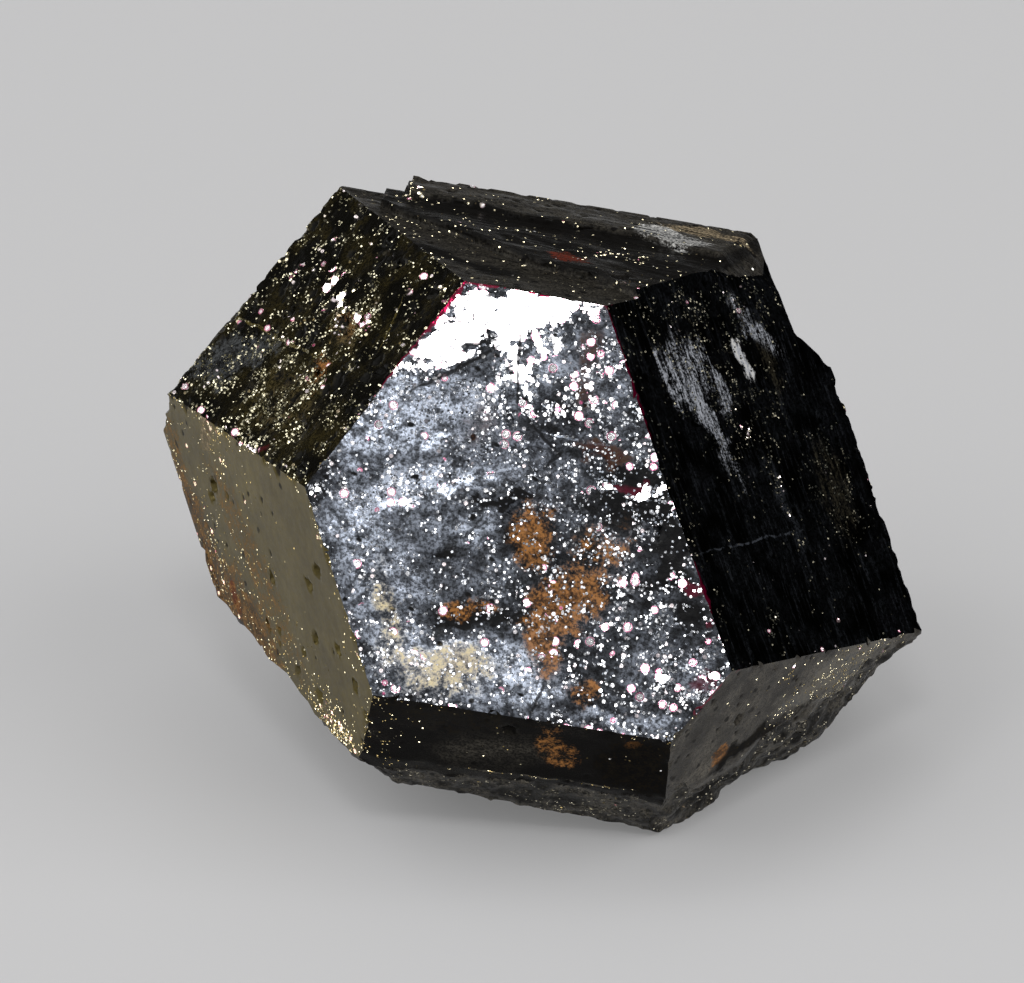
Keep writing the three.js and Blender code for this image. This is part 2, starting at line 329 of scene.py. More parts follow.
def faceHeights(face, points):
    # how far each point of a face stands out, in millimetres
    rows = np.array(faceFrame(face))
    along, away = points @ rows[0], points @ rows[1]
    if face in relief["hackly"]:
        (crests, crestSize), (lumps, lumpSize) = relief["crests"], relief["lumps"]
        grit, gritSize = relief["grit"]
        crest = 1 - 2.6 * abs(noiseAt(points, crestSize, 2))
        return relief["hackly"][face] * (crests * crest + lumps * noiseAt(points, lumpSize, 3)
                                         + grit * noiseAt(points, gritSize, 4))
    if face not in relief["rough"]:
        return np.zeros(len(points))
    grain, steps, striae = relief["rough"][face]
    small, large = relief["grainSizes"]
    height = grain * (noiseAt(points, small, 5) + 0.8 * noiseAt(points, large, 6))
    large, small = relief["hillSizes"]
    hills = 7 * (noiseAt(points, large, 7) + 0.3 * noiseAt(points, small, 8))
    height += steps * np.floor(hills)
    if striae:
        length, width = relief["striaeSize"]
        flat = np.stack([along / length, away / width, np.zeros(len(points))], 1)
        height += striae * noiseAt(flat, 1.0, 9)
    if face == "front":
        # each step wavers, fades towards its ends and slopes away behind its brow
        for start, end, tall, wide in relief["steps"]:
            start, end = np.array(start), np.array(end)
            length = np.linalg.norm(end - start)
            way = (end - start) / length
            onLine = (along - start[0]) * way[0] + (away - start[1]) * way[1]
            aside = (away - start[1]) * way[0] - (along - start[0]) * way[1]
            aside = aside + 0.12 * np.sin(onLine * 5.0)
            near = np.clip(np.minimum(onLine, length - onLine) / 0.5, 0, 1)
            fall = np.exp(-np.clip(aside, 0, None) / 0.8) * np.clip(aside / wide + 0.5, 0, 1)
            height -= tall * near * fall
    return height


def carve(points, normals, own, edge):
    # moves the points: unevenness, pits and chipped edges
    note("relief")
    names = list(planes)
    outward = np.array([planes[n][0] for n in names])[own]
    height = np.zeros(len(points))
    for i, name in enumerate(names):
        mine = own == i
        if mine.any():
            height[mine] = faceHeights(name, points[mine])
    height *= np.clip(edge / relief["calm"], 0, 1)
    tree = kdtree.KDTree(len(points))
    for i, point in enumerate(points):
        tree.insert(point, i)
    tree.balance()
    pit = np.zeros(len(points))
    draw = np.random.default_rng(relief["seed"])
    for face, (count, small, large) in relief["pits"].items():
        rows = np.array(faceFrame(face))
        mine = np.nonzero(own == names.index(face))[0]
        for middle in draw.choice(mine, count):
            radius = small + (large - small) * draw.random() ** 3
            stretch = 0.6 + 0.4 * draw.random()
            angle = draw.random() * math.pi
            for _, i, _ in tree.find_range(points[middle], radius):
                flat = rows[:2] @ (points[i] - points[middle])
                across = (-flat[0] * math.sin(angle) + flat[1] * math.cos(angle)) / stretch
                ahead = flat[0] * math.cos(angle) + flat[1] * math.sin(angle)
                # a pit's outline lies between a square and a round one
                reach = max(abs(ahead) * 0.8, abs(across) * 0.8, math.hypot(ahead, across)) / radius
                deep = min(1.0, max(0.0, 1 - reach) * relief["pitWall"])
                pit[i] = max(pit[i], deep)
                height[i] = min(height[i], -relief["pitDepth"] * radius * deep)
    small, large = relief["chipSizes"]
    chips = np.clip(noiseAt(points, small, 11) + 0.5 * noiseAt(points, large, 12) - 0.12, 0, 0.5)
    worn = relief["chip"] * chips * 2 * np.clip(1 - edge / relief["chipReach"], 0, 1)
    moved = points + outward * height[:, None] - normals * worn[:, None]
    rest = names.index("rest")
    moved[own == rest] = points[own == rest]
    moved[:, 2] = np.maximum(moved[:, 2], -planes["rest"][1])
    return moved, pit


def billow(points, size, octaves, seed):
    # soft noise of several sizes, about 0 to 1
    shift = Vector((seed * 5.1, seed * 2.3, seed * 3.9))
    values = [noise.fractal(Vector(p) / size + shift, 0.8, 2.0, octaves) for p in points]
    return 0.5 + 0.5 * np.array(values)


def smooth(values, low, high, fromValue=0.0, toValue=1.0):
    # the same soft step as a wire's rise, for arrays
    share = np.clip((values - low) / (high - low), 0, 1)
    return fromValue + (toValue - fromValue) * share * share * (3 - 2 * share)


def patchwork(listed, along, away):
    # a patch is full within two fifths of its reach and gone at 1.3 times it
    total = np.zeros(len(along))
    for x, y, wide, tall, angle, strength in listed:
        angle = math.radians(angle)
        ahead = (along - x) * math.cos(angle) + (away - y) * math.sin(angle)
        aside = (away - y) * math.cos(angle) - (along - x) * math.sin(angle)
        total += strength * smooth(np.hypot(ahead / wide, aside / tall), 1.3, 0.4)
    return total


# layers of stains, and of sheen painted as flat pale colour
stainAndSheenLayers = ("stainAndSheenOne", "stainAndSheenTwo", "stainAndSheenThree")


def faceWear(face, points, edge):
    # how bright, how glittery and how stained each point of a face is, and where sheen and a lens
    # fringe are painted as colour
    look = looks[planes[face][2]]
    rows = np.array(faceFrame(face))
    ragged = look["ragged"]
    along = points @ rows[0] + ragged * 1.6 * (billow(points, 0.9, 5, 1) - 0.5)
    away = points @ rows[1] + ragged * 1.6 * (billow(points, 0.9, 5, 2) - 0.5)
    level = points @ rows[2]
    broad = billow(points, look["lustreSize"], 4, 3)
    clump = smooth(billow(points, 0.5, 3, 4), 0.34, 0.66, 2 - look["clump"], look["clump"])
    grain = smooth(billow(points, 0.25, 3, 5), 0.3, 0.6)

    def patches(listed):
        return patchwork(listed, along, away) if face == look["face"] else np.zeros(len(along))

    wear = {"lustre": smooth(broad, 0.3, 0.7, *look["lustre"])
            + patches(look["bright"]) - patches(look["dull"])}
    for bottom, top, strength in look["bands"]:
        inside = smooth(level, bottom - 0.03, bottom) * smooth(level, top + 0.03, top)
        wear["lustre"] += strength * inside
    swing = look["glintSwing"]
    share = look["glints"] + smooth(broad, 0.3, 0.7, -swing, swing)
    share += smooth(edge, 0.22, 0.03) * look["edgeGlints"] + patches(look["glitter"])
    share *= clump
    wear["glints"] = share + patches(look["flood"]) * (0.65 + 0.45 * grain)
    wear["dust"] = (wear["glints"] * 0.7 + look["dust"] + patches(look["dusty"])) * clump
    # stains, and patches of sheen painted as flat colour
    for name, stain in zip(stainAndSheenLayers, look["stains"]):
        wear[name] = patches(stain[2])
    # a painted colour fringe beside bright highlights, along the edges and round clusters of glints
    wear["fringe"] = np.minimum(patches(look["fringe"]), 1) * smooth(edge, 0.17, 0.07)
    wear["fringe"] += patches(look["halo"])
    return wear


def wearLayers(mesh, points, own, edge):
    # the wear, kept at the corners of the triangles so that each face keeps its own
    note("wear")
    corners = np.zeros(len(mesh.loops), int)
    mesh.loops.foreach_get("vertex_index", corners)
    plane = np.repeat(own, 3)
    names = ("lustre", "glints", "dust", "fringe") + stainAndSheenLayers
    values = {name: np.zeros(len(corners)) for name in names}
    for i, face in enumerate(planes):
        mine = np.nonzero(plane == i)[0]
        if len(mine):
            used, back = np.unique(corners[mine], return_inverse=True)
            for name, field in faceWear(face, points[used], edge[used]).items():
                values[name][mine] = field[back]
    for name in names:
        layer = mesh.attributes.new(name, "FLOAT", "CORNER")
        layer.data.foreach_set("value", values[name])


def dropSlivers(mesh):
    # the fine net leaves a few edges that have no length, and the faces beside them no area
    shape = bmesh.new()
    shape.from_mesh(mesh)
    bmesh.ops.remove_doubles(shape, verts=shape.verts, dist=1e-5 * mm)
    note("%d triangles, %d open edges" % (
        len(shape.faces), sum(not e.is_manifold for e in shape.edges)))
    shape.to_mesh(mesh)
    shape.free()


def buildCrystal():
    shape = fineMesh()
    shape.faces.ensure_lookup_table()
    shape.verts.ensure_lookup_table()
    middles = np.array([f.calc_center_median() for f in shape.faces])
    faceNormals = np.array([f.normal for f in shape.faces])
    own = nearestFaces(middles, faceNormals)
    names = list(planes)
    finishes = sorted(set(planes[n][2] for n in names))
    for face, index in zip(shape.faces, own):
        face.material_index = finishes.index(planes[names[index]][2])
        face.smooth = True
    shape.faces.index_update()
    for line in shape.edges:
        line.smooth = len(set(own[face.index] for face in line.link_faces)) < 2
    points = np.array([v.co for v in shape.verts])
    normals = np.array([v.normal for v in shape.verts])
    vertexOwn = nearestFaces(points, normals)
    edge = edgeDistance(points, vertexOwn)
    moved, pit = carve(points, normals, vertexOwn, edge)
    pitLayer = shape.verts.layers.float.new("pit")
    for vertex, place, depth in zip(shape.verts, moved, pit):
        vertex.co = place
        vertex[pitLayer] = depth
    bmesh.ops.translate(shape, vec=Vector(crystal["centre"]), verts=shape.verts)
    bmesh.ops.scale(shape, vec=(mm,) * 3, verts=shape.verts)
    mesh = bpy.data.meshes.new("uraniniteCrystal")
    shape.to_mesh(mesh)
    shape.free()
    wearLayers(mesh, points, own, edge)
    dropSlivers(mesh)
    piece = bpy.data.objects.new("uraniniteCrystal", mesh)
    bpy.context.collection.objects.link(piece)
    for finish in finishes:
        mesh.materials.append(crystalFinish(finish, looks[finish]))
    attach(piece, crystal["body"])
    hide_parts(crystal["node"])


black = (0.004, 0.004, 0.0045)
umber = (0.014, 0.011, 0.007)
steel = (0.58, 0.64, 0.76)
silver = (0.95, 0.95, 0.97)
blush = (0.98, 0.86, 0.88)
# colours of a painted lens fringe beside bright highlights
fringeCrimson = (0.16, 0.004, 0.026)
fringeRose = (0.42, 0.05, 0.16)
olive = (0.262, 0.203, 0.055)
drab = (0.25, 0.225, 0.18)
bronze = (0.14, 0.105, 0.045)
gold = (0.74, 0.56, 0.24)
straw = (0.86, 0.77, 0.52)
rust = (0.065, 0.030, 0.012)
amber = (0.46, 0.20, 0.058)
brown = (0.05, 0.026, 0.012)
redBrown = (0.17, 0.026, 0.012)
brick = (0.06, 0.014, 0.008)
slate = (0.018, 0.020, 0.023)
# a pale colour painted for sheen
sheenPearl = (0.48, 0.50, 0.55)
tan = (0.42, 0.33, 0.21)
honey = (0.86, 0.72, 0.42)
# pale colours painted for sheen on dark faces
sheenWhite = (0.75, 0.74, 0.71)
sheenGrey = (0.30, 0.285, 0.255)
sheenGrey = (0.10, 0.105, 0.11)

# A patch is (along, away, reach along, reach across, turn in degrees, strength), in
# millimetres on its own face.
plainLook = {
    "face": None,                 # the face whose patches these are
    "ground": black,
    "tone": steel,                # colour of the metallic lustre
    "lustre": (0.0, 0.1),         # how metallic, from its dull to its bright patches
    "lustreSize": 1.2,
    "bright": [],                 # patches of more lustre
    "dull": [],                   # patches of less
    "bands": [],                  # lustre added between two heights above the face
    "mottle": (0.55, 1.3),        # how far lustre falls and rises over a few tenths of a millimetre
    "grain": (0.2, 1.4),          # how much the fine grain dims and brightens the lustre
    "grainSize": 0.07,
    "roughness": (0.22, 0.4),
    "reflect": 0.06,              # strength of the glassy reflection
    "bump": 0.25,
    "tilt": 0.03,                 # how far small facets lean
    "ragged": 0.45,               # how far the outlines of patches wander
    "striae": None,               # turn in degrees, width in millimetres, strength
    "darkStreaks": 0.0,           # roughness added in the hollows of the striae
    "glints": 0.02,               # share of facets that shine
    "glintSwing": 0.02,           # how much that share wanders
    "glitter": [],                # patches of more glints
    "flood": [],                  # where the facets run together
    "edgeGlints": 0.15,           # glints added along edges
    "seamGlints": 0.0,            # glints added along the light lines
    "clump": 1.9,                 # 1 spreads glints evenly, 2 gathers them in clumps
    "cell": 0.11,                 # width of a small shining facet
    "spotScale": (1, 1, 1),       # under 1 draws the glints out along that axis of the face
    "glintDirection": (-91.6, 38.5),
    "glintSpread": 0.2,
    "glintColours": (bronze, straw, silver),
    "dust": 0.05,                 # share of the finest facets
    "dusty": [],                  # patches of more of them
    "dustCell": 0.055,
    "dustColours": (bronze, straw),
    "fringe": [],                 # a painted colour fringe along edges, as a lens puts beside bright highlights
    "halo": [],                   # the same painted fringe round bright glints away from the edges
    # colour of the painted lens fringe
    "fringeColour": fringeCrimson,
    "stains": [],                 # stains, and sheen painted as flat pale colour on some dark faces: dark colour, light colour, patches
    "seams": [],                  # thin light lines, as patches
    "cracks": [],                 # thin dark lines, as patches
    "pits": 0.2,                  # share of cells that hold a small pit
    "pitSize": 0.34,
}


def wornLook(**changes):
    look = dict(plainLook)
    look.update(changes)
    return look


def crystalFinish(name, look):
    note(name)
    material = bpy.data.materials.new(name)
    paint = Paint(material)
    where = paint.node("ShaderNodeTexCoord", {}, {}, "Object")
    rows = faceFrame(look["face"]) if look["face"] else Matrix.Identity(3)
    place = paint.node("ShaderNodeMapping", {}, {
        "Vector": where, "Location": -(rows @ Vector(crystal["centre"])),
        "Rotation": rows.to_euler(), "Scale": (1 / mm,) * 3})

    def layer(called):
        return paint.node("ShaderNodeAttribute", {"attribute_name": called}, {}, "Fac")

    # thin lines waver a little
    sway = paint.node("ShaderNodeTexNoise", {}, {
        "Vector": place, "Scale": 1.1, "Detail": 5.0, "Roughness": 0.7}, "Color")
    sway = paint.vector("SUBTRACT", sway, (0.5,) * 3)
    wavering = paint.vector("ADD", place, paint.scaled(sway, 0.35))
    wavering = paint.vector("MULTIPLY", wavering, (1, 1, 0))

    def threads(listed):
        total = 0.0
        for along, away, wide, tall, angle, strength in listed:
            inside = paint.node("ShaderNodeMapping", {"vector_type": "TEXTURE"}, {
                "Vector": wavering, "Location": (along, away, 0),
                "Rotation": (0, 0, math.radians(angle)), "Scale": (wide, tall, 1)})
            reach = paint.node("ShaderNodeVectorMath", {"operation": "LENGTH"}, {0: inside}, 1)
            total = reach.rise(1.2, 0.5) * strength + total
        return total

    middling = paint.cloud(place, 0.3, 4.0, 0.6, 5.0)
    fine = paint.cloud(place, look["grainSize"], 2.0, 0.7, 3.0)

    # small pits, cracks and thin light seams
    pitPlace = paint.vector("ADD", place, paint.scaled(sway, 0.4))
    pitDistance, pitTint = paint.cells(pitPlace, look["pitSize"])
    pitRed = paint.parts(pitTint)[0]
    holes = pitRed.rise(look["pits"] + 0.02, look["pits"] - 0.02) * pitDistance.rise(0.34, 0.2)
    holes = holes.either(layer("pit").rise(0.05, 0.6))
    if look["cracks"]:
        holes = holes.either(threads(look["cracks"]).both(1.0))
    seams = threads(look["seams"]) * middling.rise(0.4, 0.55) if look["seams"] else 0.0

    # glints: round facets of three sizes that lie nearly one way and catch the small lamp
    share = layer("glints") + seams * look["seamGlints"]
    full = share.rise(0.6, 1.1)

    def picked(chance, drawn):
        # 1 in the cells whose random number is under the chance
        return (chance - drawn).rise(-0.005, 0.005)

    def disc(reach, growth, outer, inner):
        # a round facet in the middle of its cell, grown where the facets run together
        return (reach - full * growth).rise(outer, inner)

    spots = paint.vector("MULTIPLY", place, look["spotScale"])
    distance, tint = paint.cells(spots, look["cell"])
    red, green, blue = paint.parts(tint)
    bigDistance, bigTint = paint.cells(spots, look["cell"] * 2)
    bigRed = paint.parts(bigTint)[0]
    dustDistance, dustTint = paint.cells(spots, look["dustCell"])
    dustRed, _, dustBlue = paint.parts(dustTint)
    dot = picked(share, red) * disc(distance, 0.38, 0.46, 0.28)
    bigDot = picked(share * 0.6, bigRed)
    bigRim = bigDot * disc(bigDistance, 0.3, 0.46, 0.38)
    bigDot = bigDot * disc(bigDistance, 0.3, 0.40, 0.28)
    dust = picked(layer("dust") + seams, dustRed) * dustDistance.rise(0.6, 0.4)
    shine = dot.either(bigRim).either(dust) * (1 - holes * (1 - full * 0.6))

    # lustre: how much of the metallic shine is left, patch by patch
    lustre = layer("lustre")
    streaky = middling
    if look["striae"]:
        angle, width, strength = look["striae"]
        grooved = paint.node("ShaderNodeMapping", {}, {
            "Vector": place, "Rotation": (0, 0, math.radians(angle)), "Scale": (0.12, 1, 1)})
        grooves = paint.cloud(grooved, width, 4.0, 0.65, 8.0)
        lustre = lustre + grooves.rise(0.5, 0.68) * strength
        streaky = grooves
    lustre = lustre * fine.rise(0.36, 0.62, look["grain"][0], look["grain"][1])
    lustre = lustre * middling.rise(0.38, 0.6, look["mottle"][0], look["mottle"][1]) + seams
    lustre = lustre.both(1.0).either(0.0) * (1 - holes)

    # which way each facet faces: a little off its face, or nearly at the small lamp
    normal = paint.node("ShaderNodeNewGeometry", {}, {}, "Normal")
    small = paint.vector("SUBTRACT", tint, (0.5,) * 3)
    large = paint.vector("SUBTRACT", bigTint, (0.5,) * 3)
    facing = paint.vector("ADD", normal, paint.scaled(
        paint.vector("ADD", small, large), look["tilt"]))
    if look["glintDirection"]:
        toLamp = tuple(headed(*look["glintDirection"]))
    else:
        toLamp = paint.vector("MULTIPLY", normal, (1, 1, 0))
        toLamp = paint.vector("ADD", toLamp, (0, 0, 0.75))
    lean = paint.scaled(paint.turned(bigRim, small, large),
                        full.rise(0, 1, look["glintSpread"], 0.04))
    facing = paint.turned(shine, facing, paint.vector("ADD", lean, toLamp))
    facing = paint.node("ShaderNodeBump", {}, {
        "Strength": look["bump"], "Distance": 0.03 * mm, "Height": fine * 0.5 + middling * 0.6,
        "Normal": paint.vector("NORMALIZE", facing)})

    # colours: dim, warm and bright facets, a painted rose fringe round the largest as a lens puts
    # round bright glints, and stains and painted sheen that break up
    dim, warm, bright = [colour(*c) for c in look["glintColours"]]
    glint = paint.blend(green.rise(0.3, 0.6), warm, bright)
    glint = paint.blend((blue + full).rise(0.1, 0.5), dim, glint)
    glint = paint.blend(bigRim, glint, paint.blend(full, colour(*fringeRose), bright))
    glint = paint.blend(bigDot, glint, bright)
    dusty = paint.blend(dustBlue.rise(0.4, 0.9), colour(*look["dustColours"][0]),
                        colour(*look["dustColours"][1]))
    glint = paint.blend(dot.either(bigRim), dusty, glint)
    surface = paint.blend(lustre, colour(*look["ground"]), colour(*look["tone"]))
    metallic = lustre
    rough = fine.rise(0.3, 0.7, look["roughness"][0], look["roughness"][1])
    rough = rough + layer("lustre").rise(-0.01, -0.1) * 0.35 + holes * 0.2
    if look["darkStreaks"]:
        rough = rough + streaky.rise(0.52, 0.4) * look["darkStreaks"]
    # stains, and on some dark faces sheen painted as flat pale colour, that break up
    for called, (dark, light, _) in zip(stainAndSheenLayers, look["stains"]):
        mask = layer(called)
        mask = mask.rise(0.0, 0.3) * (mask + fine * 1.8 + streaky * 2.4).rise(2.1, 3.0) * 0.85
        stain = paint.blend((fine + streaky).rise(0.82, 1.25), colour(*dark), colour(*light))
        surface = paint.blend(mask, surface, stain)
        metallic = metallic * (1 - mask * 0.85)
        rough = rough + mask * 0.35
        shine = shine * (mask - blue * 1.8).rise(0.45, 0.15)
    surface = paint.blend(shine, surface, glint)
    metallic = metallic.either(shine)
    # a painted colour fringe, as a lens puts beside bright highlights
    if look["fringe"]:
        paintedFringe = layer("fringe").rise(0.35, 0.65) * middling.rise(0.3, 0.5, 0.5, 1.0)
        paintedFringe = paintedFringe * (1 - shine * layer("fringe").rise(0.8, 0.5))
        surface = paint.blend(paintedFringe, surface, colour(*look["fringeColour"]))
    shader = paint.node("ShaderNodeBsdfPrincipled", {}, {
        "Base Color": surface, "Metallic": metallic, "Roughness": rough * (1 - shine * 0.5),
        "IOR": 2.35, "Specular IOR Level": look["reflect"], "Normal": facing})
    paint.node("ShaderNodeOutputMaterial", {}, {"Surface": shader})
    return material


